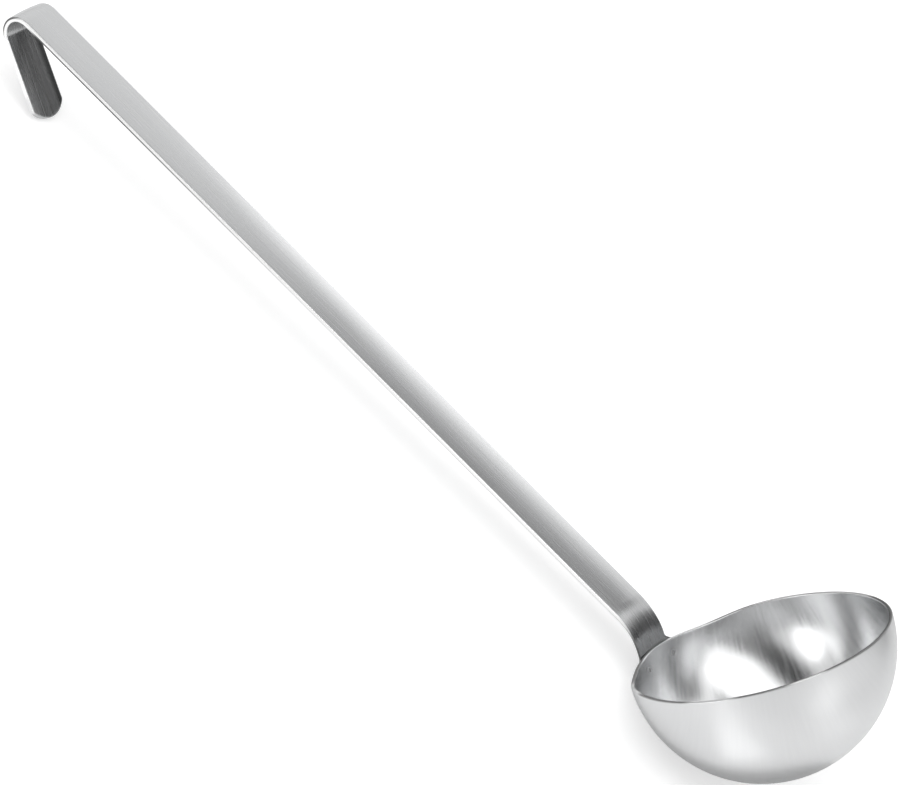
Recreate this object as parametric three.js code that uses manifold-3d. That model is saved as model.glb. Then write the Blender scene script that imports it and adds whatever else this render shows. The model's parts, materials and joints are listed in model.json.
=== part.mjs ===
// A serving ladle: a pressed steel bowl and one bent strap handle, held together by two spot welds.
// Sizes are in millimetres. The ladle lies on a table at z = 0, on its bowl and on the tip of its hook,
// with the bowl towards +X, the hook towards -X and the strap lying across Y.
import * as THREE from "three";
import { mergeVertices } from "three/addons/utils/BufferGeometryUtils.js";
import Module from "manifold-3d";

// Bowl: a hemisphere with an open top
const BOWL_OUTER_RADIUS = 50;
const BOWL_WALL = 1.5;

// Strap that the whole handle is bent from
const STRAP_WIDTH = 17.5;
const STRAP_THICKNESS = 2.8;
const STRAP_EDGE_ROUND = 0.6;

// Neck: the strap rises from the rim, then leans away from the bowl's axis
const NECK_RISE = 2.5;
const NECK_RADIUS = 28;
const HANDLE_LEAN_DEGREES = 38.9;
const STRAIGHT_LENGTH = 323;

// Hook at the top of the strap
const HOOK_INNER_RADIUS = 5.8;
const HOOK_TURN_DEGREES = 144.5;
const HOOK_LEG_LENGTH = 30.4;
const TIP_RADIUS = 10.4;

// Foot: the strap's lower end, thinned and spread over the outside of the bowl
const FOOT_WIDTH = 26;
const FOOT_THICKNESS = 1.9;
const FOOT_DROP = 18;
const FOOT_END_LENGTH = 10;
const FLARE_ABOVE_RIM = 3;
const FLARE_BELOW_RIM = 5;

// Spot welds between foot and bowl
const WELD_DIAMETER = 5;
const WELD_DEPTH = 0.6;
const WELD_SPACING = 16.6;
const WELD_DROP = 5;

// Clearances
const FOOT_GAP = 0.3;
const WELD_CLEARANCE = 0.3;

// Fineness of the curved surfaces
const BOWL_SEGMENTS = 60;
const BOWL_ARC_STEPS = 16;
const STRAP_STRIPS = 4;
const EDGE_STEPS = 2;

// Sizes that follow from the ones above
const FOOT_INNER_RADIUS = BOWL_OUTER_RADIUS + FOOT_GAP;
const HANDLE_LEAN = THREE.MathUtils.degToRad(HANDLE_LEAN_DEGREES);
const HOOK_TURN = THREE.MathUtils.degToRad(HOOK_TURN_DEGREES);
const HOOK_OUTER_RADIUS = HOOK_INNER_RADIUS + STRAP_THICKNESS;
const NECK_LENGTH = NECK_RISE + NECK_RADIUS * HANDLE_LEAN;

const wasm = await Module();
wasm.setup();

// A geometry as a solid body that can be joined or cut
function solidFrom(geometry) {
  const bare = new THREE.BufferGeometry();
  bare.setAttribute("position", geometry.getAttribute("position"));
  bare.setIndex(geometry.index);
  const welded = mergeVertices(bare, 1e-4);
  const corners = welded.index.array;
  const kept = [];
  for (let i = 0; i < corners.length; i += 3) {
    const [a, b, c] = corners.slice(i, i + 3);
    if (a !== b && b !== c && c !== a) kept.push(a, b, c);
  }
  return new wasm.Manifold(
    new wasm.Mesh({
      numProp: 3,
      vertProperties: welded.getAttribute("position").array,
      triVerts: new Uint32Array(kept),
    }),
  );
}

// A solid body as a geometry again
function geometryFrom(solid) {
  const mesh = solid.getMesh();
  const geometry = new THREE.BufferGeometry();
  geometry.setAttribute("position", new THREE.BufferAttribute(mesh.vertProperties, 3));
  geometry.setIndex(new THREE.BufferAttribute(mesh.triVerts, 1));
  geometry.computeVertexNormals();
  return geometry;
}

// Points of a circular arc in the plane of a profile
function arcPoints(centreX, centreY, radius, from, to, steps) {
  const points = [];
  for (let i = 0; i <= steps; i++) {
    const angle = THREE.MathUtils.lerp(from, to, i / steps);
    points.push(new THREE.Vector2(centreX + radius * Math.cos(angle), centreY + radius * Math.sin(angle)));
  }
  return points;
}

// Bowl: outside, rounded rim and inside in one revolved profile, with the rim circle at the origin
function bowlGeometry() {
  const quarter = Math.PI / 2;
  const rimRound = BOWL_WALL / 2;
  const outside = arcPoints(0, 0, BOWL_OUTER_RADIUS, -quarter, 0, BOWL_ARC_STEPS);
  const rim = arcPoints(BOWL_OUTER_RADIUS - rimRound, 0, rimRound, 0, Math.PI, 4).slice(1, -1);
  const inside = arcPoints(0, 0, BOWL_OUTER_RADIUS - BOWL_WALL, 0, -quarter, BOWL_ARC_STEPS);
  const profile = [...outside, ...rim, ...inside];
  profile[0].x = 0;
  profile.at(-1).x = 0;
  return new THREE.LatheGeometry(profile, BOWL_SEGMENTS).rotateX(quarter);
}

// Weld nugget: a lens that reaches the same depth into both sheets, grown by a clearance for its seat
function nuggetGeometry(clearance) {
  const radius = WELD_DIAMETER / 2 + clearance;
  const height = FOOT_GAP / 2 + WELD_DEPTH + clearance;
  const profile = arcPoints(0, 0, 1, -Math.PI / 2, Math.PI / 2, 6);
  for (const point of profile) point.set(point.x * radius, point.y * height);
  profile[0].x = 0;
  profile.at(-1).x = 0;
  return new THREE.LatheGeometry(profile, 16);
}

// Place of a weld, halfway between the sheets, with its axis square to the bowl's wall
function weldPlace(side) {
  const radius = BOWL_OUTER_RADIUS + FOOT_GAP / 2;
  const y = (side * WELD_SPACING) / 2;
  const z = -WELD_DROP;
  const x = -Math.sqrt(radius * radius - y * y - z * z);
  const position = new THREE.Vector3(x, y, z);
  const outward = position.clone().normalize();
  const turn = new THREE.Quaternion().setFromUnitVectors(new THREE.Vector3(0, 1, 0), outward);
  return { position, turn };
}

function weldSeat(side) {
  const place = weldPlace(side);
  const seat = nuggetGeometry(WELD_CLEARANCE);
  seat.applyMatrix4(new THREE.Matrix4().compose(place.position, place.turn, new THREE.Vector3(1, 1, 1)));
  return solidFrom(seat);
}

// How far the strap has changed into the foot, by its distance above the rim: 0 is strap, 1 is foot
function footShare(aboveRim) {
  return 1 - THREE.MathUtils.smoothstep(aboveRim, -FLARE_BELOW_RIM, FLARE_ABOVE_RIM);
}

function widthAt(aboveRim) {
  return THREE.MathUtils.lerp(STRAP_WIDTH, FOOT_WIDTH, footShare(aboveRim));
}

function thicknessAt(aboveRim) {
  return THREE.MathUtils.lerp(STRAP_THICKNESS, FOOT_THICKNESS, footShare(aboveRim));
}

// The foot is curved across its width like the bowl, and the strap is flat from the end of the neck
function crossCurveAt(aboveRim) {
  return (1 - THREE.MathUtils.smoothstep(aboveRim, 0, NECK_LENGTH)) / FOOT_INNER_RADIUS;
}

// Path of the strap's front face in the plane of symmetry, from the foot's end up to the hook's tip
function handlePath() {
  const radius = FOOT_INNER_RADIUS;
  const foot = new THREE.EllipseCurve(0, 0, radius, radius, Math.PI + FOOT_DROP / radius, Math.PI, true);
  const rimPoint = new THREE.Vector2(-radius, 0);
  const neckStart = new THREE.Vector2(-radius, NECK_RISE);
  const rise = new THREE.LineCurve(rimPoint, neckStart);
  const neck = new THREE.EllipseCurve(
    neckStart.x - NECK_RADIUS, neckStart.y, NECK_RADIUS, NECK_RADIUS, 0, HANDLE_LEAN, false,
  );
  const straightStart = neck.getPoint(1);
  const straightEnd = straightStart.clone().addScaledVector(neck.getTangent(1), STRAIGHT_LENGTH);
  const straight = new THREE.LineCurve(straightStart, straightEnd);
  const hook = new THREE.EllipseCurve(
    straightEnd.x - HOOK_OUTER_RADIUS * Math.cos(HANDLE_LEAN),
    straightEnd.y - HOOK_OUTER_RADIUS * Math.sin(HANDLE_LEAN),
    HOOK_OUTER_RADIUS, HOOK_OUTER_RADIUS, HANDLE_LEAN, HANDLE_LEAN + HOOK_TURN, false,
  );
  const legStart = hook.getPoint(1);
  const legDirection = new THREE.Vector2(
    -Math.sin(HANDLE_LEAN + HOOK_TURN), Math.cos(HANDLE_LEAN + HOOK_TURN),
  );
  return { foot, rise, neck, straight, hook, legStart, legDirection };
}

// One cross-section of the strap: a bar with rounded edges, bent across its width where it follows the bowl.
// The outline runs in u across the width and d from the front face into the thickness.
function sectionOutline(width, thickness) {
  const round = Math.min(STRAP_EDGE_ROUND, 0.45 * thickness, 0.3 * width);
  const inner = width / 2 - round;
  const outline = [];
  const corner = (u, d, from) => {
    outline.push(...arcPoints(u, d, round, from, from + Math.PI / 2, EDGE_STEPS));
  };
  const strips = (from, to, d) => {
    for (let i = 1; i < STRAP_STRIPS; i++) {
      outline.push(new THREE.Vector2(THREE.MathUtils.lerp(from, to, i / STRAP_STRIPS), d));
    }
  };
  corner(-inner, round, Math.PI);
  strips(-inner, inner, 0);
  corner(inner, round, -Math.PI / 2);
  corner(inner, thickness - round, 0);
  strips(inner, -inner, thickness);
  corner(-inner, thickness - round, Math.PI / 2);
  return outline;
}

function sectionRing(station) {
  const tangent = station.tangent;
  const outward = new THREE.Vector3(-tangent.y, 0, tangent.x);
  const across = new THREE.Vector3(0, 1, 0);
  const front = new THREE.Vector3(station.point.x, 0, station.point.y);
  return sectionOutline(station.width, station.thickness).map(({ x: u, y: d }) => {
    const place = front.clone();
    if (station.crossCurve < 1e-6) return place.addScaledVector(outward, d).addScaledVector(across, u);
    const radius = 1 / station.crossCurve;
    const angle = u / radius;
    return place
      .addScaledVector(outward, (radius + d) * Math.cos(angle) - radius)
      .addScaledVector(across, (radius + d) * Math.sin(angle));
  });
}

// Cross-sections from the end of the foot to the tip of the hook
function handleStations() {
  const path = handlePath();
  const stations = [];
  const add = (point, tangent, aboveRim, width = widthAt(aboveRim)) => {
    const thickness = thicknessAt(aboveRim);
    stations.push({ point, tangent, width, thickness, crossCurve: crossCurveAt(aboveRim) });
  };

  // Rounded end of the foot, then its even part and the flare up to the rim
  const footPlace = (drop) => 1 - drop / FOOT_DROP;
  const widestAngle = 1.37;
  for (let i = 0; i <= 6; i++) {
    const angle = widestAngle * (1 - i / 6);
    const drop = FOOT_DROP - FOOT_END_LENGTH * (1 - Math.sin(angle) / Math.sin(widestAngle));
    const place = footPlace(drop);
    add(path.foot.getPoint(place), path.foot.getTangent(place), -drop, widthAt(-drop) * Math.cos(angle));
  }
  const evenDrop = FOOT_DROP - FOOT_END_LENGTH;
  for (let i = 1; i <= 5; i++) {
    const drop = evenDrop * (1 - i / 5);
    const place = footPlace(drop);
    add(path.foot.getPoint(place), path.foot.getTangent(place), -drop);
  }

  // Neck, straight and hook
  add(path.rise.getPoint(1), path.rise.getTangent(1), NECK_RISE);
  for (let i = 1; i <= 8; i++) {
    const aboveRim = NECK_RISE + (i / 8) * NECK_RADIUS * HANDLE_LEAN;
    add(path.neck.getPoint(i / 8), path.neck.getTangent(i / 8), aboveRim);
  }
  const top = NECK_LENGTH + STRAIGHT_LENGTH;
  add(path.straight.getPoint(1), path.straight.getTangent(1), top);
  for (let i = 1; i <= 14; i++) add(path.hook.getPoint(i / 14), path.hook.getTangent(i / 14), top);

  // Leg of the hook and its rounded tip
  const halfWidth = STRAP_WIDTH / 2;
  const tipAngle = Math.asin(Math.min(1, halfWidth / TIP_RADIUS));
  const lastAngle = 0.14;
  for (let i = 0; i <= 6; i++) {
    const angle = THREE.MathUtils.lerp(tipAngle, lastAngle, i / 6);
    const along = HOOK_LEG_LENGTH + TIP_RADIUS * (Math.cos(angle) - Math.cos(tipAngle));
    const point = path.legStart.clone().addScaledVector(path.legDirection, along);
    const width = i === 0 ? STRAP_WIDTH : 2 * TIP_RADIUS * Math.sin(angle);
    add(point, path.legDirection, top, width);
  }
  return stations;
}

// Closed skin over a row of cross-sections
function skin(rings, outline) {
  const count = rings[0].length;
  const positions = rings.flat().flatMap((point) => point.toArray());
  const index = [];
  for (let i = 0; i + 1 < rings.length; i++) {
    for (let j = 0; j < count; j++) {
      const a = i * count + j;
      const b = i * count + ((j + 1) % count);
      index.push(a, b, b + count, a, b + count, a + count);
    }
  }
  const last = (rings.length - 1) * count;
  for (const [a, b, c] of THREE.ShapeUtils.triangulateShape(outline, [])) {
    index.push(a, c, b);
    index.push(last + a, last + b, last + c);
  }
  const geometry = new THREE.BufferGeometry();
  geometry.setAttribute("position", new THREE.Float32BufferAttribute(positions, 3));
  geometry.setIndex(index);
  return geometry;
}

const stations = handleStations();
const handleSkin = skin(stations.map(sectionRing), sectionOutline(STRAP_WIDTH, STRAP_THICKNESS));

const brightSteel = { color: 0xc9cbcc, metalness: 1, roughness: 0.3 };
const brushedSteel = { color: 0xb9bbbc, metalness: 1, roughness: 0.38 };
const weldSteel = { color: 0x8f9192, metalness: 1, roughness: 0.5 };

function piece(name, geometry, look) {
  const mesh = new THREE.Mesh(geometry, new THREE.MeshStandardMaterial(look));
  mesh.name = name;
  return mesh;
}

const seats = [weldSeat(-1), weldSeat(1)];
const cutSeats = (geometry) => geometryFrom(seats.reduce((body, seat) => body.subtract(seat), solidFrom(geometry)));

const ladle = new THREE.Group();
ladle.name = "serving_ladle";
ladle.add(piece("bowl", cutSeats(bowlGeometry()), brightSteel));
ladle.add(piece("handle", cutSeats(handleSkin), brushedSteel));
for (const [name, side] of [["spot_weld_near", -1], ["spot_weld_far", 1]]) {
  const place = weldPlace(side);
  const weld = piece(name, geometryFrom(solidFrom(nuggetGeometry(0))), weldSteel);
  weld.position.copy(place.position);
  weld.quaternion.copy(place.turn);
  ladle.add(weld);
}

// Lay the ladle down: turn it about the bowl's centre until the hook's tip comes down to the bowl's lowest level
const tip = stations.at(-1).point;
const tilt = Math.atan2(tip.x, tip.y) + Math.acos(-BOWL_OUTER_RADIUS / tip.length());
ladle.rotation.y = -tilt;
const box = new THREE.Box3().setFromObject(ladle, true);
ladle.position.x = -(box.min.x + box.max.x) / 2;
ladle.position.z = -box.min.z;

const part = new THREE.Group();
part.name = "part";
part.add(ladle);

export default part;
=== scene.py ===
"""A steel serving ladle, laid down in a plain white studio.

The bowl, the strap handle and the two weld marks are made one after the other by
operators, each from the sizes kept in its own group of settings.
"""

import json
import math

import bmesh
import bpy
from mathutils import Matrix, Quaternion, Vector


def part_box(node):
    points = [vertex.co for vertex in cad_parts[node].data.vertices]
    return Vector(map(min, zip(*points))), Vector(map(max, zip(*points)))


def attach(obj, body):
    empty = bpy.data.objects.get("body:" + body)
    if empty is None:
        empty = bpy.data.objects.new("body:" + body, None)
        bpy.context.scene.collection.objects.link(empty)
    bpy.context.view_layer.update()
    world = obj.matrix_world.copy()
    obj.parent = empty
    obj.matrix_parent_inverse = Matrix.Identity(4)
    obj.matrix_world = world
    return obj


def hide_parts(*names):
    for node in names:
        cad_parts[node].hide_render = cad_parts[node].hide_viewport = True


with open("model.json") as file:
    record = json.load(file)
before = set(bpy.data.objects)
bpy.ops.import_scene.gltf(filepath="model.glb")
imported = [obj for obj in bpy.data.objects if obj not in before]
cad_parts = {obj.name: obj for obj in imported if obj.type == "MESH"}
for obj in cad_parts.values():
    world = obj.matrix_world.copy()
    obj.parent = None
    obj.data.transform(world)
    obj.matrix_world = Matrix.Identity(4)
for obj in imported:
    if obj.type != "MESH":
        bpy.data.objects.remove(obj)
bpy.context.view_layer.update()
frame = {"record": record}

bl_info = {
    "name": "Serving ladle",
    "version": (1, 0, 0),
    "blender": (4, 5, 0),
    "location": "3D View > Sidebar > Ladle",
    "description": "Builds a steel serving ladle with a hook handle in a white studio",
    "category": "Object",
}

MM = 0.001
TINY = 1e-6
BODY = "root"

# The half ball reaches its full radius towards +X, along Y and down to the table.
BOWL_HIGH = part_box("bowl")[1]
BOWL_RADIUS = BOWL_HIGH.y
BOWL_CENTRE = (BOWL_HIGH.x - BOWL_RADIUS, 0.0, BOWL_RADIUS)

# The flat of the strap leans away from the bowl's axis, so its stated normal gives the bowl's tilt.
STRAP_LEAN = math.radians(38.9)
GRIP_NORMAL = next(m for m in frame["record"]["mounts"] if m["name"] == "grip_front")["axis"]
LADLE_TILT = math.atan2(GRIP_NORMAL[2], GRIP_NORMAL[0]) - STRAP_LEAN


def length(name, description, default):
    """A size in metres."""
    return bpy.props.FloatProperty(
        name=name, description=description, default=default, unit="LENGTH", precision=5)


def angle(name, description, default):
    """An angle in radians, shown in degrees."""
    return bpy.props.FloatProperty(
        name=name, description=description, default=default, subtype="ANGLE")


def colour(name, description, default):
    """A colour as it is written, in linear light."""
    return bpy.props.FloatVectorProperty(
        name=name, description=description, default=default, size=3, subtype="COLOR",
        min=0.0, max=1.0)


def share(name, description, default):
    """A number from 0 to 1."""
    return bpy.props.FloatProperty(
        name=name, description=description, default=default, min=0.0, max=1.0)


class LadleBowlSettings(bpy.types.PropertyGroup):
    """Sizes and finish of the bowl"""

    radius: length("Radius", "Outside radius of the half ball", BOWL_RADIUS)
    wall: length("Wall", "Thickness of the pressed sheet", 1.5 * MM)
    tilt: angle("Tilt", "Lean of the bowl's axis when the ladle lies down", LADLE_TILT)
    rim_round: length("Rim round", "Radius along both edges of the rim", 0.4 * MM)
    dip: length("Far dip", "How far the rim sinks beyond the handle", 1.5 * MM)
    near_dip: length("Near dip", "How far the rim sinks before the handle", 2.4 * MM)
    dip_turn: angle("Dip turn", "Turn from the handle to the lowest place", math.radians(31.0))
    dip_spread: angle("Dip spread", "Half of the turn that a dip takes up", math.radians(17.0))
    colour: colour("Steel", "Colour of the polished steel", (0.665, 0.67, 0.675))
    # The rim's colour is a painted dark reflection along the top of the rim.
    rim_shade_colour: colour("Rim painted reflection", "Painted dark reflection along the rim's top", (0.2, 0.2, 0.2))
    roughness: share("Roughness inside", "Softness of the reflections inside the bowl", 0.235)
    satin: share("Satin outside", "Roughness added on the bowl's outside", 0.14)
    grain: angle("Grain", "Turn of the sheet's grain inside the bowl", math.radians(130.0))


class LadleStrapSettings(bpy.types.PropertyGroup):
    """Sizes and finish of the strap that forms hook, handle, neck and foot"""

    width: length("Width", "Width of the strap", 17.5 * MM)
    thickness: length("Thickness", "Thickness of the strap", 2.8 * MM)
    edge_round: length("Edge round", "Radius along the strap's edges", 0.4 * MM)
    foot_gap: length("Foot gap", "Space between the foot and the bowl", 0.1 * MM)
    neck_rise: length("Neck rise", "Height of the first upright stretch over the rim", 2.5 * MM)
    neck_radius: length("Neck radius", "Bend of the front face at the neck", 28 * MM)
    lean: angle("Lean", "Angle from the bowl's axis to the handle", STRAP_LEAN)
    straight: length("Straight", "Length from the neck's bend to the hook's bend", 323 * MM)
    hook_radius: length("Hook radius", "Inside bend of the hook", 5.8 * MM)
    hook_turn: angle("Hook turn", "Angle that the hook is bent through", math.radians(144.5))
    leg: length("Leg", "Length of the hook's leg up to its round tip", 30.4 * MM)
    tip_radius: length("Tip radius", "Round of the leg's end", 10.4 * MM)
    foot_width: length("Foot width", "Width of the spread foot", 26 * MM)
    foot_thickness: length("Foot thickness", "Thickness of the flattened foot", 1.5 * MM)
    thin_from: length("Thin from", "Height over the rim where the strap starts to thin", 24 * MM)
    thin_to: length("Thin to", "Height over the rim where the strap is thinnest", 7 * MM)
    foot_drop: length("Foot drop", "How far the foot reaches below the rim", 18 * MM)
    foot_end: length("Foot end", "Length of the foot's rounded end", 10 * MM)
    flare_above: length("Flare above", "Start of the spread above the rim", 0.5 * MM)
    flare_below: length("Flare below", "End of the spread below the rim", 6 * MM)
    fillet: length("Fillet", "How far the far edge runs out along the rim", 2.5 * MM)
    crown: length("Crown", "How much each broad face falls off towards its edges", 0.4 * MM)
    colour: colour("Steel", "Colour of the brushed steel", (0.56, 0.565, 0.57))
    # The sides' colour, brighter than steel, is a painted highlight.
    edge_highlight: colour("Edge highlight", "Painted highlight along the strap's sides", (0.88, 0.88, 0.88))
    # Colour of the painted shade along the back edges, round the hook and at the neck.
    painted_shade_colour: colour("Painted shade", "Painted shade along the back edges, hook and neck", (0.13, 0.13, 0.13))
    roughness: share("Roughness", "Softness of the strap's reflections", 0.25)


class LadleWeldSettings(bpy.types.PropertyGroup):
    """Sizes and finish of the two spot welds"""

    diameter: length("Diameter", "Width of the mark that each weld leaves", 1.8 * MM)
    spacing: length("Spacing", "Distance between the two welds", 16.6 * MM)
    drop: length("Drop", "Depth of the welds below the rim", 5 * MM)
    proud: length("Proud", "How far a mark stands over the sheet", 0.05 * MM)
    colour: colour("Steel", "Colour of the pressed spot", (0.43, 0.43, 0.435))
    roughness: share("Roughness", "Softness of the mark's reflections", 0.35)


class LadleStageSettings(bpy.types.PropertyGroup):
    """Camera, floor and lights"""

    eye: bpy.props.FloatVectorProperty(
        name="Eye", description="Place of the camera", size=3, subtype="TRANSLATION",
        unit="LENGTH", default=(0.43675, -1.33553, 1.23746))
    azimuth: angle("Azimuth", "Turn of the camera round the ladle", math.radians(17.59))
    elevation: angle("Elevation", "Height of the camera over the floor", math.radians(40.57))
    roll: angle("Roll", "Turn of the camera about its line of sight", math.radians(31.21))
    lens: bpy.props.FloatProperty(
        name="Lens", description="Focal length on a sensor 36 mm wide", default=195.81,
        unit="CAMERA")
    floor: colour("Floor", "Colour of the floor", (0.8, 0.8, 0.8))
    glow: share("Floor glow", "Light added to the floor as the camera sees it", 0.4)
    mirrored: share("Mirrored glow", "Share of that glow that shows in reflections", 0.45)
    sky: share("Sky", "Light from all sides on what isn't metal", 0.75)
    low: share("Low sky", "What metal mirrors near the horizon", 1.0)
    high: share("High sky", "What metal mirrors overhead", 0.3)


def smooth_step(value, low, high):
    """0 below low, 1 above high and a soft change between."""
    part = min(1.0, max(0.0, (value - low) / (high - low)))
    return part * part * (3 - 2 * part)


class Value:
    """A socket of a finish, so that its maths reads as an expression."""

    def __init__(self, finish, socket):
        self.finish = finish
        self.socket = socket

    def combine(self, operation, first, second):
        """One Math node on two values or numbers."""
        return self.finish.node(
            "ShaderNodeMath", {"operation": operation}, **{"0": first, "1": second})

    def __add__(self, other):
        return self.combine("ADD", self, other)

    def __radd__(self, other):
        return self.combine("ADD", other, self)

    def __sub__(self, other):
        return self.combine("SUBTRACT", self, other)

    def __rsub__(self, other):
        return self.combine("SUBTRACT", other, self)

    def __mul__(self, other):
        return self.combine("MULTIPLY", self, other)

    def __rmul__(self, other):
        return self.combine("MULTIPLY", other, self)

    def __truediv__(self, other):
        return self.combine("DIVIDE", self, other)

    def __rtruediv__(self, other):
        return self.combine("DIVIDE", other, self)

    def larger(self, other):
        """The larger of two values at each place."""
        return self.combine("MAXIMUM", self, other)

    def step(self, low, high):
        """0 below low, 1 above high and a soft change between."""
        return self.finish.node(
            "ShaderNodeMapRange", {"interpolation_type": "SMOOTHSTEP"}, Value=self,
            From_Min=low, From_Max=high)


class Finish:
    """A material or a sky that is put together node by node."""

    def __init__(self, tree):
        self.tree = tree
        tree.nodes.clear()

    def node(self, kind, settings=None, output=0, **inputs):
        """Adds a node, sets it up, feeds its sockets and gives one of its outputs."""
        made = self.tree.nodes.new(kind)
        for key, value in (settings or {}).items():
            setattr(made, key, value)
        for key, value in inputs.items():
            name = key.replace("_", " ")
            socket = made.inputs[int(name)] if name.isdigit() else made.inputs[name]
            if isinstance(value, Value):
                self.tree.links.new(value.socket, socket)
            else:
                socket.default_value = value
        if not made.outputs:
            return None
        return Value(self, made.outputs[output])


def new_finish(name):
    """A new material and the finish that its nodes are put together in."""
    material = bpy.data.materials.new(name)
    material.use_nodes = True
    return material, Finish(material.node_tree)


def solid(tint):
    """A colour with a solid alpha."""
    return (*tint, 1.0)


def shade_metal(finish, tint, roughness, bump):
    """Ends a finish in bare metal."""
    metal = finish.node(
        "ShaderNodeBsdfPrincipled", Base_Color=tint, Metallic=1.0, Roughness=roughness,
        Normal=bump)
    finish.node("ShaderNodeOutputMaterial", Surface=metal)


def mix_colours(finish, method, part, first, second):
    """A Mix node on two colours, which are its sockets 6 and 7 and its output 2."""
    return finish.node(
        "ShaderNodeMix", {"data_type": "RGBA", "blend_type": method}, output=2,
        **{"0": part, "6": first, "7": second})


def tone(finish, tint, amount):
    """A colour made lighter or darker by an amount round 1."""
    grey = finish.node("ShaderNodeCombineColor", Red=amount, Green=amount, Blue=amount)
    return mix_colours(finish, "MULTIPLY", 1.0, tint, grey)


def blend(finish, part, first, second):
    """A colour between two others."""
    return mix_colours(finish, "MIX", part, first, second)


def noise(finish, place, scale, detail):
    """Noise that varies evenly round 0."""
    middle = 0.5
    return finish.node("ShaderNodeTexNoise", Vector=place, Scale=scale, Detail=detail) - middle


# How far the sheet's lines and clouds change the bowl's colour, roughness and height.
LINES_SCALE = (2.5, 30.0, 1.0)
LINES_OUTSIDE = 0.3
LINES_TONE = 0.2
LINES_ROUGHNESS = 0.12
LINES_BUMP = 0.03
LINES_HEIGHT = 0.04 * MM
CLOUDS_SCALE = 45.0
CLOUDS_ROUGHNESS = 0.05


def sheet_grain(finish, upright, bowl):
    """Fine lines of the rolled sheet, as they lie after the sheet is pressed into a half ball."""
    z = finish.node("ShaderNodeSeparateXYZ", output="Z", Vector=upright)
    polar = finish.node("ShaderNodeMath", {"operation": "ARCCOSINE"}, **{"0": z / -bowl.radius})
    level = finish.node(
        "ShaderNodeVectorMath", {"operation": "MULTIPLY"},
        **{"0": upright, "1": (1.0, 1.0, 0.0)})
    heading = finish.node("ShaderNodeVectorMath", {"operation": "NORMALIZE"}, **{"0": level})
    flat = finish.node(
        "ShaderNodeVectorMath", {"operation": "SCALE"}, **{"0": heading, "Scale": polar})
    turned = finish.node(
        "ShaderNodeMapping", {"vector_type": "POINT"}, Vector=flat,
        Rotation=(0.0, 0.0, -bowl.grain))
    drawn = finish.node(
        "ShaderNodeMapping", {"vector_type": "POINT"}, Vector=turned, Scale=LINES_SCALE)
    return noise(finish, drawn, 1.0, 2.0)


def bowl_steel(bowl):
    """Polished steel with the fine lines of the rolled sheet, stronger inside than out, and a painted
    dark reflection along the rim's top.
    """
    material, finish = new_finish("bowl steel")
    place = finish.node("ShaderNodeTexCoord", output="Object")
    upright = finish.node(
        "ShaderNodeMapping", {"vector_type": "TEXTURE"}, Vector=place,
        Location=BOWL_CENTRE, Rotation=(0.0, -bowl.tilt, 0.0))
    distance = finish.node(
        "ShaderNodeVectorMath", {"operation": "LENGTH"}, output="Value", **{"0": upright})
    middle = bowl.radius - bowl.wall / 2
    soft = bowl.wall / 10
    inside = 1.0 - distance.step(middle - soft, middle + soft)
    lines = sheet_grain(finish, upright, bowl) * (LINES_OUTSIDE + (1.0 - LINES_OUTSIDE) * inside)
    clouds = noise(finish, upright, CLOUDS_SCALE, 2.0)
    satin = bowl.roughness + bowl.satin * (1.0 - inside)
    roughness = satin + LINES_ROUGHNESS * lines + CLOUDS_ROUGHNESS * clouds
    bump = finish.node(
        "ShaderNodeBump", Strength=LINES_BUMP, Distance=LINES_HEIGHT, Height=lines)
    sheet = tone(finish, solid(bowl.colour), 1.0 + LINES_TONE * lines)
    # The rim mask mixes in a painted dark reflection along the rim's top.
    rim = finish.node("ShaderNodeAttribute", {"attribute_name": "rim"}, output="Fac")
    shade_metal(finish, blend(finish, rim, sheet, solid(bowl.rim_shade_colour)), roughness, bump)
    return material


# Soft borders of the painted shade in the hook: in from the far edge, from the leg's start, into the
# thickness.
HOOK_SHADE_STRENGTH = 0.75
HOOK_SHADE_EDGE = (5 * MM, 1.5 * MM)
HOOK_SHADE_START = (-3 * MM, 2 * MM)
HOOK_SHADE_DEPTH = (0.5, 0.8)


def hook_painted_shade(strap, shape, along, across, depth):
    """How dark the painted shade inside the hook is, along the leg's far edge."""
    edge = across.step(*(strap.width / 2 - inset for inset in HOOK_SHADE_EDGE))
    leg = along.step(*(shape.leg_start + offset for offset in HOOK_SHADE_START))
    return edge * leg * depth.step(*(part * strap.thickness for part in HOOK_SHADE_DEPTH))


# The painted shade line along the back edge: its border in from the back, its faint start and its
# end.
LINE_EDGE = (1.4 * MM, 1.0 * MM)
LINE_LEAST = 0.15
LINE_GROWTH = (180 * MM, 300 * MM)
LINE_END = (-8 * MM, 0.0)

# Painted shade round the hook's crown, in shares of its arc and in from the front, and on the neck.
CROWN_START = (0.1, 0.4)
CROWN_END = (0.7, 1.0)
CROWN_EDGE = (0.9 * MM, 1.3 * MM)
NECK_FADE = (3 * MM, 16 * MM)


def side_painted_shade(strap, shape, along, depth):
    """How dark the painted shade on the strap's side is: at the back edge, round the hook and at the
    neck.
    """
    line = depth.step(*(strap.thickness - inset for inset in LINE_EDGE))
    line = line * (LINE_LEAST + (1.0 - LINE_LEAST) * along.step(*LINE_GROWTH))
    line = line * (1.0 - along.step(*(shape.hook_start + offset for offset in LINE_END)))
    arc = shape.leg_start - shape.hook_start
    crown = along.step(*(shape.hook_start + part * arc for part in CROWN_START))
    crown = crown * (1.0 - along.step(*(shape.hook_start + part * arc for part in CROWN_END)))
    crown = crown * (1.0 - depth.step(*CROWN_EDGE))
    neck = 1.0 - along.step(*NECK_FADE)
    return line.larger(crown).larger(neck)


# How far the brushing changes the strap's colour, roughness and height.
BRUSH_SCALE = (26.0, 2600.0, 2600.0)
BRUSH_TONE = 0.22
BRUSH_ROUGHNESS = 0.16
BRUSH_BUMP = 0.25
BRUSH_HEIGHT = 0.05 * MM

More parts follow.
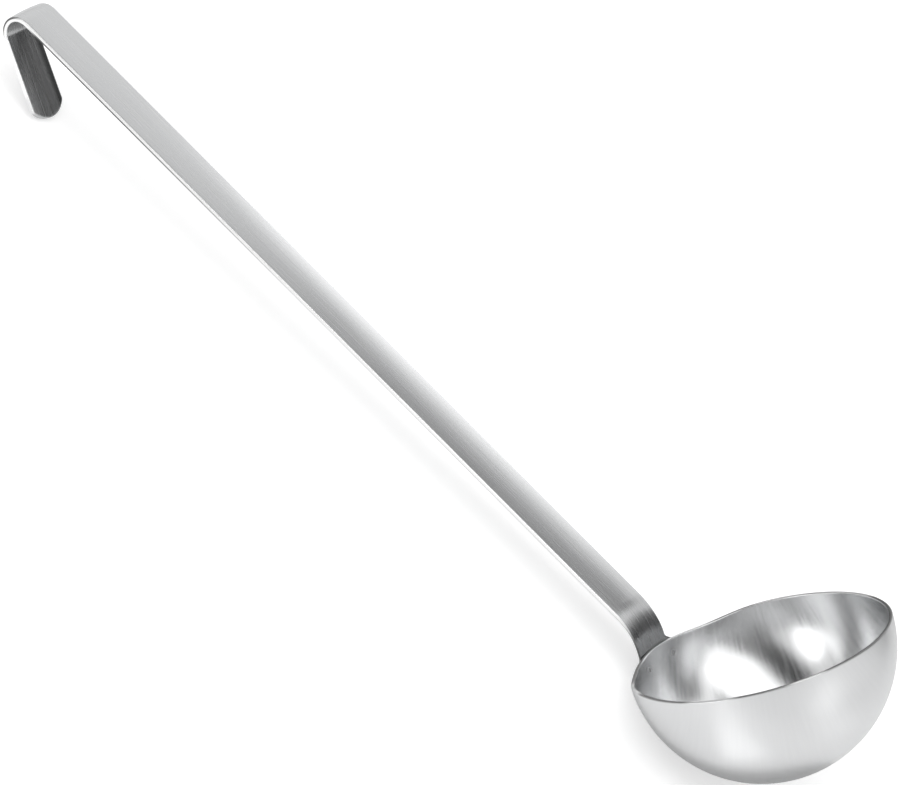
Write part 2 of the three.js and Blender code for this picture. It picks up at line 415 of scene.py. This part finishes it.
# Heights over the rim where the neck's painted shade fades and where the sides' painted highlight
# sets in.
NECK_SHADE_TONE = 0.55
NECK_SHADE_FADE = (3 * MM, 9 * MM)
HIGHLIGHT_START = (6 * MM, 24 * MM)


def strap_steel(strap, shape):
    """Steel brushed along the strap, whose lines follow every bend, with painted highlights and
    shade.
    """
    material, finish = new_finish("strap steel")
    blank = finish.node("ShaderNodeAttribute", {"attribute_name": "blank"}, output="Vector")
    along = finish.node("ShaderNodeSeparateXYZ", output="X", Vector=blank)
    across = finish.node("ShaderNodeSeparateXYZ", output="Y", Vector=blank)
    depth = -1.0 * finish.node("ShaderNodeSeparateXYZ", output="Z", Vector=blank)
    drawn = finish.node(
        "ShaderNodeMapping", {"vector_type": "POINT"}, Vector=blank, Scale=BRUSH_SCALE)
    lines = noise(finish, drawn, 1.0, 3.0)
    # Painted shade on the neck, darkest at the rim.
    neck_shade = NECK_SHADE_TONE + (1.0 - NECK_SHADE_TONE) * along.step(*NECK_SHADE_FADE)
    # Painted shade inside the hook, darkening the leg along its far edge.
    hook_unshaded = 1.0 - HOOK_SHADE_STRENGTH * hook_painted_shade(strap, shape, along, across, depth)
    brushed = tone(finish, solid(strap.colour), neck_shade * hook_unshaded * (1.0 + BRUSH_TONE * lines))
    side = finish.node("ShaderNodeAttribute", {"attribute_name": "side"}, output="Fac")
    # Painted highlight along the strap's sides, fading in above the neck.
    side_highlight = side * along.step(*HIGHLIGHT_START)
    faced = blend(finish, side_highlight, brushed, solid(strap.edge_highlight))
    # Painted shade on the strap's sides.
    shade = side * side_painted_shade(strap, shape, along, depth)
    coloured = blend(finish, shade, faced, solid(strap.painted_shade_colour))
    roughness = strap.roughness + BRUSH_ROUGHNESS * lines
    bump = finish.node(
        "ShaderNodeBump", Strength=BRUSH_BUMP, Distance=BRUSH_HEIGHT, Height=lines)
    shade_metal(finish, coloured, roughness, bump)
    return material


# How far the pressed skin changes a weld mark's roughness and height.
SKIN_SCALE = 1500.0
SKIN_ROUGHNESS = 0.1
SKIN_BUMP = 0.3
SKIN_HEIGHT = 0.05 * MM


def weld_steel(weld):
    """The duller skin of a spot that was pressed hot between electrodes."""
    material, finish = new_finish("weld steel")
    place = finish.node("ShaderNodeTexCoord", output="Object")
    skin = noise(finish, place, SKIN_SCALE, 2.0)
    bump = finish.node("ShaderNodeBump", Strength=SKIN_BUMP, Distance=SKIN_HEIGHT, Height=skin)
    shade_metal(finish, solid(weld.colour), weld.roughness + SKIN_ROUGHNESS * skin, bump)
    return material


def bowl_to_part():
    """Turns and moves what is modelled round the bowl's upright axis into the part's frame."""
    tilt = bpy.context.scene.ladle_bowl.tilt
    return Matrix.Translation(BOWL_CENTRE) @ Matrix.Rotation(-tilt, 4, "Y")


def make_object(bm, name, material):
    """Puts a mesh and its material into the scene as an object."""
    mesh = bpy.data.meshes.new(name)
    bm.to_mesh(mesh)
    bm.free()
    mesh.materials.append(material)
    made = bpy.data.objects.new(name, mesh)
    bpy.context.scene.collection.objects.link(made)
    return made


def finish_piece(bm, name, material, slot, *nodes):
    """Makes an object of a closed mesh in the part's frame and puts it in the nodes' place."""
    if bm.calc_volume(signed=True) < 0.0:
        bmesh.ops.reverse_faces(bm, faces=bm.faces)
    for face in bm.faces:
        face.smooth = True
    piece = make_object(bm, name, material)
    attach(piece, BODY)
    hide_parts(*nodes)


def round_edges(bm, radius):
    """Rounds the edges where two faces meet at more than one radian."""
    sharp = [e for e in bm.edges if e.is_manifold and e.calc_face_angle() > 1.0]
    bmesh.ops.bevel(
        bm, geom=sharp, offset=radius, segments=4, profile=0.5, affect="EDGES", material=-1)


class LADLE_OT_bowl(bpy.types.Operator):
    """Press the bowl: a half ball with a wall and a rounded rim"""

    bl_idname = "ladle.bowl"
    bl_label = "Bowl"

    # Turns in degrees over which the near dip gives way to the far one, and where the sinking starts.
    SIDES = (-10.0, 10.0)
    SINK_FROM = -14 * MM

    # Turns from the handle, in degrees: where the rim's top gets its painted dark reflection, where
    # that painted line becomes wider and where it is left off, so that the rim shows bright.
    DARK_FAR = (29.0, 36.0)
    DARK_NEAR = (8.0, 16.0)
    WIDE_FAR = (150.0, 178.0)
    WIDE_NEAR = (10.0, 20.0)
    BRIGHT_TURNS = ((-152.0, -136.0), (-112.0, -90.0), (-56.0, -34.0), (54.0, 116.0))
    BRIGHT_SOFT = 3.0

    # Depths below the rim's top: how far the painted dark line goes, how much more where it is wide,
    # and where it is full.
    LINE = 0.2 * MM
    LINE_WIDER = 0.4 * MM
    LINE_FULL = 0.02 * MM

    def turn(self, place):
        """Degrees round the bowl from the handle, counted up on the far side."""
        return math.degrees(math.atan2(place.y, -place.x))

    def rim_left_bright(self, turn):
        """1 where the rim's painted dark reflection is left off, so that its top shows bright, and 0
        elsewhere.
        """
        soft = self.BRIGHT_SOFT
        return max(
            smooth_step(turn, low - soft, low + soft) - smooth_step(turn, high - soft, high + soft)
            for low, high in self.BRIGHT_TURNS)

    def sink(self, bowl, place):
        """How far the wall sinks beside the handle, most at the rim."""
        turn = self.turn(place)
        past = abs(turn) - math.degrees(bowl.dip_turn)
        beside = math.exp(-(past / math.degrees(bowl.dip_spread)) ** 2)
        far = smooth_step(turn, *self.SIDES)
        dip = far * bowl.dip + (1 - far) * bowl.near_dip
        return dip * beside * smooth_step(place.z, self.SINK_FROM, 0.0)

    def rim_painted_share(self, bowl, place):
        """1 where the top of the rim gets its painted dark reflection, 0 beside the handle and where
        it is left off.
        """
        turn = self.turn(place)
        dark = max(smooth_step(turn, *self.DARK_FAR), smooth_step(-turn, *self.DARK_NEAR))
        wide = max(smooth_step(turn, *self.WIDE_FAR), smooth_step(-turn, *self.WIDE_NEAR))
        line = self.LINE + self.LINE_WIDER * wide
        top = bowl.wall / 2
        painted_band = smooth_step(place.z, top - line, top - self.LINE_FULL)
        return painted_band * dark * (1 - self.rim_left_bright(turn))

    def execute(self, context):
        bowl = context.scene.ladle_bowl
        bm = bmesh.new()
        bmesh.ops.create_uvsphere(bm, u_segments=192, v_segments=96, radius=bowl.radius)
        upper = [v for v in bm.verts if v.co.z > TINY]
        bmesh.ops.delete(bm, geom=upper, context="VERTS")
        edge = [e for e in bm.edges if e.is_boundary]
        raised = bmesh.ops.extrude_edge_only(bm, edges=edge)["geom"]
        raised_verts = [v for v in raised if isinstance(v, bmesh.types.BMVert)]
        bmesh.ops.translate(bm, verts=raised_verts, vec=(0, 0, bowl.wall / 2))
        bmesh.ops.recalc_face_normals(bm, faces=bm.faces)
        bmesh.ops.solidify(bm, geom=bm.faces[:], thickness=bowl.wall)
        round_edges(bm, bowl.rim_round)
        # Mask of the painted dark reflection along the rim's top.
        rim = bm.verts.layers.float.new("rim")
        for vert in bm.verts:
            vert[rim] = self.rim_painted_share(bowl, vert.co)
            vert.co.z -= self.sink(bowl, vert.co)
        bmesh.ops.transform(bm, matrix=bowl_to_part(), verts=bm.verts)
        finish_piece(bm, "ladle_bowl", bowl_steel(bowl), "bowl_steel", "bowl")
        return {"FINISHED"}


class StrapBlank:
    """The flat blank of the strap and the way that it is bent.

    Places on the blank are measured from the rim along the front face, across the width
    and into the thickness.
    """

    # How far the rows of the foot's round end and of the tip reach into the straight sides.
    FOOT_INSET = 3 * MM
    TIP_INSET = 4 * MM

    def __init__(self, strap, bowl):
        self.strap = strap
        self.foot_radius = bowl.radius + strap.foot_gap
        self.neck_end = strap.neck_rise + strap.neck_radius * strap.lean
        self.hook_start = self.neck_end + strap.straight
        self.outer_radius = strap.hook_radius + strap.thickness
        self.leg_start = self.hook_start + self.outer_radius * strap.hook_turn
        self.leg_end = self.leg_start + strap.leg

    def foot_share(self, along):
        """1 on the foot and 0 on the strap."""
        return 1 - smooth_step(along, -self.strap.flare_below, self.strap.flare_above)

    def half_width(self, along):
        """Half of the blank's width, which spreads at the foot."""
        part = self.foot_share(along)
        return ((1 - part) * self.strap.width + part * self.strap.foot_width) / 2

    def reach(self, along, side):
        """Distance from the middle to an edge, of which the far one runs out over the rim."""
        half = self.half_width(along)
        if side <= 0:
            return half
        left = 1 - min(1.0, max(0.0, along / self.strap.fillet))
        return max(half, self.strap.width / 2 + self.strap.fillet * left * left)

    def thickness(self, along):
        """Thickness of the blank, which is flattened towards the foot."""
        part = smooth_step(along, self.strap.thin_to, self.strap.thin_from)
        return part * self.strap.thickness + (1 - part) * self.strap.foot_thickness

    def fall(self, along, across, depth):
        """How far a broad face lies below its middle, into the strap from either side."""
        side = across / self.reach(along, across)
        face = 1 - 2 * depth / self.thickness(along)
        return self.strap.crown * (1 - self.foot_share(along)) * side * side * face

    def tip_bulge(self, across):
        """How far the round tip reaches past the leg's straight sides."""
        radius = self.strap.tip_radius
        side = self.strap.width / 2
        return math.sqrt(radius ** 2 - across ** 2) - math.sqrt(radius ** 2 - side ** 2)

    def foot_bulge(self, across):
        """How far the round end of the foot reaches past its straight sides."""
        side = self.strap.foot_width / 2
        return self.strap.foot_end * math.sqrt(max(0.0, 1 - (across / side) ** 2))

    def rows(self):
        """Places of the blank's rows between its two round ends, closer where it bends."""
        stretches = (
            (-self.strap.foot_drop + self.strap.foot_end + self.FOOT_INSET, 0.0, 10),
            (0.0, self.strap.neck_rise, 8),
            (self.strap.neck_rise, self.neck_end, 28),
            (self.neck_end, self.hook_start, 12),
            (self.hook_start, self.leg_start, 40),
            (self.leg_start, self.leg_end - self.TIP_INSET, 6),
        )
        found = []
        for low, high, steps in stretches:
            found += [low + (high - low) * i / steps for i in range(steps)]
        return found + [self.leg_end - self.TIP_INSET]

    def front(self, along):
        """A point of the front face in the plane of symmetry, and the angle of its normal."""
        strap = self.strap
        if along <= 0:
            below = along / self.foot_radius
            return (-self.foot_radius * math.cos(below), self.foot_radius * math.sin(below)), -below
        if along <= strap.neck_rise:
            return (-self.foot_radius, along), 0.0
        bend = min((along - strap.neck_rise) / strap.neck_radius, strap.lean)
        x = -self.foot_radius - strap.neck_radius * (1 - math.cos(bend))
        z = strap.neck_rise + strap.neck_radius * math.sin(bend)
        if along <= self.neck_end:
            return (x, z), bend
        run = min(along, self.hook_start) - self.neck_end
        x -= run * math.sin(strap.lean)
        z += run * math.cos(strap.lean)
        if along <= self.hook_start:
            return (x, z), strap.lean
        x -= self.outer_radius * math.cos(strap.lean)
        z -= self.outer_radius * math.sin(strap.lean)
        turned = strap.lean + min((along - self.hook_start) / self.outer_radius, strap.hook_turn)
        x += self.outer_radius * math.cos(turned)
        z += self.outer_radius * math.sin(turned)
        run = max(0.0, along - self.leg_start)
        return (x - run * math.sin(turned), z + run * math.cos(turned)), turned

    def bend(self, along, across, depth):
        """Where a place of the flat blank ends up on the bent strap."""
        (x, z), turned = self.front(along)
        curve = (1 - smooth_step(along, 0.0, self.neck_end)) / self.foot_radius
        lift, side = depth, across
        if curve > TINY:
            radius = 1 / curve
            lift = (radius + depth) * math.cos(across / radius) - radius
            side = (radius + depth) * math.sin(across / radius)
        return Vector((x - lift * math.cos(turned), side, z - lift * math.sin(turned)))


class LADLE_OT_handle(bpy.types.Operator):
    """Cut the flat blank of the handle, round its edges and bend it to shape"""

    bl_idname = "ladle.handle"
    bl_label = "Handle"

    # Columns of the blank in shares of its half width, and rows in each of its round ends.
    COLUMNS = (-1.0, -0.92, -0.83, -0.71, -0.56, -0.38, -0.2, 0.0,
               0.2, 0.38, 0.56, 0.71, 0.83, 0.92, 1.0)
    END_ROWS = 6

    # Depth that tells the back from the front until the back gets its own.
    BACK = 1.0

    # Distances in from the edge where the strap's side starts and where it is full.
    SIDE_START = 0.4 * MM
    SIDE_FULL = 0.1 * MM

    def blank_place(self, blank, rows, row, column):
        """Place of a grid point on the flat blank."""
        side = self.COLUMNS[column]
        if row < self.END_ROWS:
            start = rows[0]
            across = side * blank.half_width(start)
            sides_end = blank.strap.foot_end - blank.strap.foot_drop
            end = sides_end - blank.foot_bulge(across)
            part = 1 - row / self.END_ROWS
            return start + part * (end - start), across
        if row >= self.END_ROWS + len(rows):
            start = rows[-1]
            across = side * blank.half_width(start)
            end = blank.leg_end + blank.tip_bulge(across)
            part = (row - self.END_ROWS - len(rows) + 1) / self.END_ROWS
            return start + part * (end - start), across
        along = rows[row - self.END_ROWS]
        return along, side * blank.reach(along, side)

    def execute(self, context):
        strap = context.scene.ladle_strap
        blank = StrapBlank(strap, context.scene.ladle_bowl)
        rows = blank.rows()
        row_steps = len(rows) + 2 * self.END_ROWS - 1
        column_steps = len(self.COLUMNS) - 1
        bm = bmesh.new()
        bmesh.ops.create_grid(bm, x_segments=row_steps, y_segments=column_steps, size=1.0)
        for vert in bm.verts:
            row = round((vert.co.x + 1) / 2 * row_steps)
            column = round((vert.co.y + 1) / 2 * column_steps)
            along, across = self.blank_place(blank, rows, row, column)
            vert.co = (along, across, 0.0)
        bmesh.ops.solidify(bm, geom=bm.faces[:], thickness=self.BACK)
        for vert in bm.verts:
            if abs(vert.co.z) > self.BACK / 2:
                vert.co.z = -blank.thickness(vert.co.x)
        bmesh.ops.recalc_face_normals(bm, faces=bm.faces)
        round_edges(bm, strap.edge_round)
        flat = bm.verts.layers.float_vector.new("blank")
        side = bm.verts.layers.float.new("side")
        for vert in bm.verts:
            along, across, depth = vert.co.x, vert.co.y, -vert.co.z
            vert[flat] = vert.co.copy()
            reach = blank.reach(along, across)
            vert[side] = smooth_step(abs(across), reach - self.SIDE_START, reach - self.SIDE_FULL)
            vert.co = blank.bend(along, across, depth + blank.fall(along, across, depth))
        bmesh.ops.recalc_face_normals(bm, faces=bm.faces)
        bmesh.ops.transform(bm, matrix=bowl_to_part(), verts=bm.verts)
        finish_piece(bm, "ladle_handle", strap_steel(strap, blank), "handle_steel", "handle")
        return {"FINISHED"}


class LADLE_OT_welds(bpy.types.Operator):
    """Set the two spot welds through the foot and the bowl's wall"""

    bl_idname = "ladle.welds"
    bl_label = "Spot welds"

    # Rings from a mark's edge inwards: the width as a share of the diameter, and the step
    # as a share of how far the mark stands proud.
    RINGS = ((0.12, 0.0), (0.1, -0.8), (0.1, 0.0))

    def execute(self, context):
        bowl = context.scene.ladle_bowl
        strap = context.scene.ladle_strap
        weld = context.scene.ladle_weld
        material = weld_steel(weld)
        inside = bowl.radius - bowl.wall - weld.proud
        outside = bowl.radius + strap.foot_gap + strap.foot_thickness + weld.proud
        for name, side in (("near", -1), ("far", 1)):
            y = side * weld.spacing / 2
            x = -math.sqrt(bowl.radius ** 2 - y ** 2 - weld.drop ** 2)
            outward = Vector((x, y, -weld.drop)).normalized()
            bm = bmesh.new()
            bmesh.ops.create_cone(
                bm, cap_ends=True, segments=40, radius1=weld.diameter / 2,
                radius2=weld.diameter / 2, depth=outside - inside)
            ends = [f for f in bm.faces if len(f.verts) > 4]
            for width, step in self.RINGS:
                bmesh.ops.inset_individual(
                    bm, faces=ends, thickness=width * weld.diameter, depth=step * weld.proud)
            place = Matrix.Translation(outward * (inside + outside) / 2)
            turn = outward.to_track_quat("Z", "Y").to_matrix().to_4x4()
            bmesh.ops.transform(
                bm, matrix=bowl_to_part() @ place @ turn, verts=bm.verts)
            finish_piece(
                bm, f"weld_mark_{name}", material, "weld_steel", f"spot_weld_{name}")
        return {"FINISHED"}


def white_for_the_eye(finish):
    """1 for what the camera sees, straight or in metal and glass, and 0 for other light."""
    seen = finish.node("ShaderNodeLightPath", output="Is Camera Ray")
    mirrored = finish.node("ShaderNodeLightPath", output="Is Glossy Ray")
    through = finish.node("ShaderNodeLightPath", output="Is Transmission Ray")
    return finish.node(
        "ShaderNodeMath", {"operation": "ADD", "use_clamp": True},
        **{"0": seen + mirrored, "1": through})


class LADLE_OT_stage(bpy.types.Operator):
    """Set up the floor, the lights and the camera"""

    bl_idname = "ladle.stage"
    bl_label = "Stage"

    WHITE = (1.0, 1.0, 1.0, 1.0)
    FLOOR_REACH = 6.0
    CLIP_END = 50.0
    SENSOR_WIDTH = 36.0

    # Height of a mirrored direction over which the low sky gives way to the high one.
    SKY_CHANGE = (0.6, 0.78)

    HOOK = (-0.2, 0.0, 0.03)
    MIDDLE = (0.0, 0.0, 0.03)
    DOWN = Vector((0.0, 0.0, -1.0))

    # Name, place, size, spin in degrees and power. Both lamps point at the bowl.
    LAMPS = (
        ("overhead softbox", (0.14, -0.243, 0.9), (1.4, 0.7), 24.0, 4.0),
        ("low softbox", (-0.07, -0.672, 0.13), (0.465, 0.26), 0.0, 0.52),
    )

    # Name, place, aim, size, grey and spin in degrees.
    CARDS = (
        ("dark card at the front", (0.004, -0.32, 0.321), BOWL_CENTRE, (0.46, 0.21), 0.0, 18.0),
        ("grey card at the front", (0.53, -0.7, 0.67), BOWL_CENTRE, (0.62, 0.42), 0.22, 0.0),
        ("dark card behind", (1.08, 1.6, 1.05), MIDDLE, (0.95, 1.0), 0.02, 0.0),
        ("dark card on the left", (-0.68, -0.27, 0.22), HOOK, (0.4, 0.3), 0.05, 0.0),
        ("grey card on the left", (-1.2, -0.2, 0.25), MIDDLE, (1.1, 0.6), 0.45, 0.0),
        ("white card behind the hook", (-0.75, 0.72, 0.75), HOOK, (0.8, 0.9), 1.05, 0.0),
        ("bright card behind", (-0.17, 0.78, 0.44), MIDDLE, (0.3, 0.28), 2.0, 0.0),
        ("high card behind", (0.237, 0.61, 0.92), BOWL_CENTRE, (0.2, 0.4), 1.3, 0.0),
        ("dark card high behind", (0.084, 0.737, 0.738), MIDDLE, (0.2, 0.16), 0.05, 0.0),
        ("white card above", (0.36, 0.3, 1.05), BOWL_CENTRE, (0.85, 0.22), 1.4, 0.0),
        ("low card behind", (0.48, 0.8, 0.08), MIDDLE, (0.36, 0.17), 0.1, 0.0),
        ("bright card on the right", (0.97, -0.05, 0.2), BOWL_CENTRE, (0.28, 0.44), 1.5, 0.0),
    )

    # Name, place, size, grey and corners of the cards that lie on the floor. The bright, pale and
    # white
    # cards are painted light: lit patches of floor that the metal mirrors. The darker cards under the
    # bowl, under the hook and behind the strap are painted shadow, as the metal mirrors the floor.
    FLOOR_CARDS = (
        ("bright card on the floor", (0.222, -0.18, 0.002), (0.045, 0.26), 1.5, 4),
        ("pale card on the floor", (0.0375, -0.2175, 0.002), (0.115, 0.285), 2.0, 4),
        ("white card beside the hook", (-0.222, -0.045, 0.002), (0.05, 0.07), 1.15, 4),
        ("painted shadow under the hook", (-0.155, 0.055, 0.002), (0.13, 0.1), 0.3, 4),
        ("painted shadow on the floor", (0.03, 0.25, 0.001), (0.34, 0.3), 0.22, 4),
        ("grey card before the handle", (-0.28, -0.3, 0.001), (0.66, 0.42), 0.5, 4),
        ("pale card on the right", (0.58, 0.035, 0.001), (0.5, 0.1), 1.25, 4),
        ("shade under the bowl", (0.178, 0.0, 0.001), (0.135, 0.078), 0.4, 64),
    )

    def add_floor(self, stage):
        """A wide pale floor that keeps the ladle's shadow."""
        bm = bmesh.new()
        bmesh.ops.create_grid(bm, x_segments=1, y_segments=1, size=self.FLOOR_REACH)
        material, finish = new_finish("floor")
        paint = finish.node("ShaderNodeBsdfDiffuse", Color=solid(stage.floor))
        glow = finish.node("ShaderNodeEmission", Color=self.WHITE, Strength=stage.glow)
        lit = finish.node("ShaderNodeAddShader", **{"0": paint, "1": glow})
        seen = finish.node("ShaderNodeLightPath", output="Is Camera Ray")
        mirrored = finish.node("ShaderNodeLightPath", output="Is Glossy Ray")
        surface = finish.node(
            "ShaderNodeMixShader",
            **{"0": seen + stage.mirrored * mirrored, "1": paint, "2": lit})
        finish.node("ShaderNodeOutputMaterial", Surface=surface)
        floor = make_object(bm, "floor", material)

    def add_sky(self, stage):
        """A white studio all round, which metal mirrors dimmer overhead."""
        world = bpy.data.worlds.new("white studio")
        world.use_nodes = True
        bpy.context.scene.world = world
        finish = Finish(world.node_tree)
        direction = finish.node("ShaderNodeTexCoord", output="Generated")
        height = finish.node("ShaderNodeSeparateXYZ", output="Z", Vector=direction)
        mirrored = stage.low + (stage.high - stage.low) * height.step(*self.SKY_CHANGE)
        eye = white_for_the_eye(finish)
        strength = stage.sky * (1.0 - eye) + mirrored * eye
        light = finish.node("ShaderNodeBackground", Color=self.WHITE, Strength=strength)
        finish.node("ShaderNodeOutputWorld", Surface=light)

    def facing(self, place, aim, spin):
        """The turn that points a lamp or a card at its aim and spins it there by degrees."""
        turn = (Vector(aim) - Vector(place)).to_track_quat("-Z", "Y")
        return turn @ Quaternion((0.0, 0.0, 1.0), math.radians(spin))

    def add_lamp(self, name, place, size, spin, power):
        """A soft oval lamp that points at the bowl."""
        lamp = bpy.data.lights.new(name, "AREA")
        lamp.shape = "ELLIPSE"
        lamp.size, lamp.size_y = size
        lamp.energy = power
        holder = bpy.data.objects.new(name, lamp)
        holder.location = place
        holder.rotation_mode = "QUATERNION"
        holder.rotation_quaternion = self.facing(place, BOWL_CENTRE, spin)
        holder.visible_camera = False
        bpy.context.scene.collection.objects.link(holder)

    def add_card(self, name, place, aim, size, grey, spin=0.0, corners=4):
        """A card that only shows in reflections, as cards beside a product do."""
        bm = bmesh.new()
        if corners == 4:
            bmesh.ops.create_grid(bm, x_segments=1, y_segments=1, size=0.5)
        else:
            bmesh.ops.create_circle(bm, cap_ends=True, segments=corners, radius=0.5)
        bmesh.ops.scale(bm, vec=(*size, 1.0), verts=bm.verts)
        turn = self.facing(place, aim, spin).to_matrix().to_4x4()
        bmesh.ops.transform(bm, matrix=Matrix.Translation(place) @ turn, verts=bm.verts)
        material, finish = new_finish(name)
        shade = finish.node("ShaderNodeEmission", Color=(grey, grey, grey, 1.0), Strength=1.0)
        finish.node("ShaderNodeOutputMaterial", Surface=shade)
        card = make_object(bm, name, material)
        card.visible_camera = False
        card.visible_diffuse = False
        card.visible_shadow = False

    def add_camera(self, stage):
        """A level camera at its azimuth and elevation, then rolled about its line of sight."""
        side = Vector((math.cos(stage.azimuth), math.sin(stage.azimuth), 0.0))
        back = Vector((
            math.sin(stage.azimuth) * math.cos(stage.elevation),
            -math.cos(stage.azimuth) * math.cos(stage.elevation),
            math.sin(stage.elevation)))
        up = back.cross(side)
        right = math.cos(stage.roll) * side + math.sin(stage.roll) * up
        upright = math.cos(stage.roll) * up - math.sin(stage.roll) * side
        lens = bpy.data.cameras.new("camera")
        lens.sensor_fit = "HORIZONTAL"
        lens.sensor_width = self.SENSOR_WIDTH
        lens.lens = stage.lens
        lens.clip_end = self.CLIP_END
        camera = bpy.data.objects.new("camera", lens)
        turn = Matrix((right, upright, back)).transposed().to_4x4()
        camera.matrix_world = Matrix.Translation(stage.eye) @ turn
        bpy.context.scene.collection.objects.link(camera)
        bpy.context.scene.camera = camera

    def execute(self, context):
        stage = context.scene.ladle_stage
        context.scene.view_settings.view_transform = "Standard"
        self.add_floor(stage)
        self.add_sky(stage)
        for lamp in self.LAMPS:
            self.add_lamp(*lamp)
        for card in self.CARDS:
            self.add_card(*card)
        for name, place, size, grey, corners in self.FLOOR_CARDS:
            self.add_card(name, place, Vector(place) + self.DOWN, size, grey, corners=corners)
        self.add_camera(stage)
        return {"FINISHED"}


class LADLE_PT_panel(bpy.types.Panel):
    """Lists the steps that build the ladle"""

    bl_idname = "LADLE_PT_panel"
    bl_label = "Serving ladle"
    bl_space_type = "VIEW_3D"
    bl_region_type = "UI"
    bl_category = "Ladle"

    def draw(self, context):
        column = self.layout.column()
        for step in STEPS:
            column.operator(step.bl_idname)
        for settings in SETTINGS:
            group = getattr(context.scene, settings)
            box = self.layout.box()
            for key in group.bl_rna.properties.keys():
                if key not in ("rna_type", "name"):
                    box.prop(group, key)


STEPS = (LADLE_OT_bowl, LADLE_OT_handle, LADLE_OT_welds, LADLE_OT_stage)
SETTINGS = {
    "ladle_bowl": LadleBowlSettings,
    "ladle_strap": LadleStrapSettings,
    "ladle_weld": LadleWeldSettings,
    "ladle_stage": LadleStageSettings,
}


def register():
    for kind in (*SETTINGS.values(), *STEPS, LADLE_PT_panel):
        bpy.utils.register_class(kind)
    for name, kind in SETTINGS.items():
        setattr(bpy.types.Scene, name, bpy.props.PointerProperty(type=kind))


def unregister():
    for name in SETTINGS:
        delattr(bpy.types.Scene, name)
    for kind in (LADLE_PT_panel, *reversed(STEPS), *reversed(SETTINGS.values())):
        bpy.utils.unregister_class(kind)


def main():
    """Builds the ladle step by step."""
    register()
    bpy.ops.ladle.bowl()
    bpy.ops.ladle.handle()
    bpy.ops.ladle.welds()
    bpy.ops.ladle.stage()


if __name__ == "__main__":
    main()
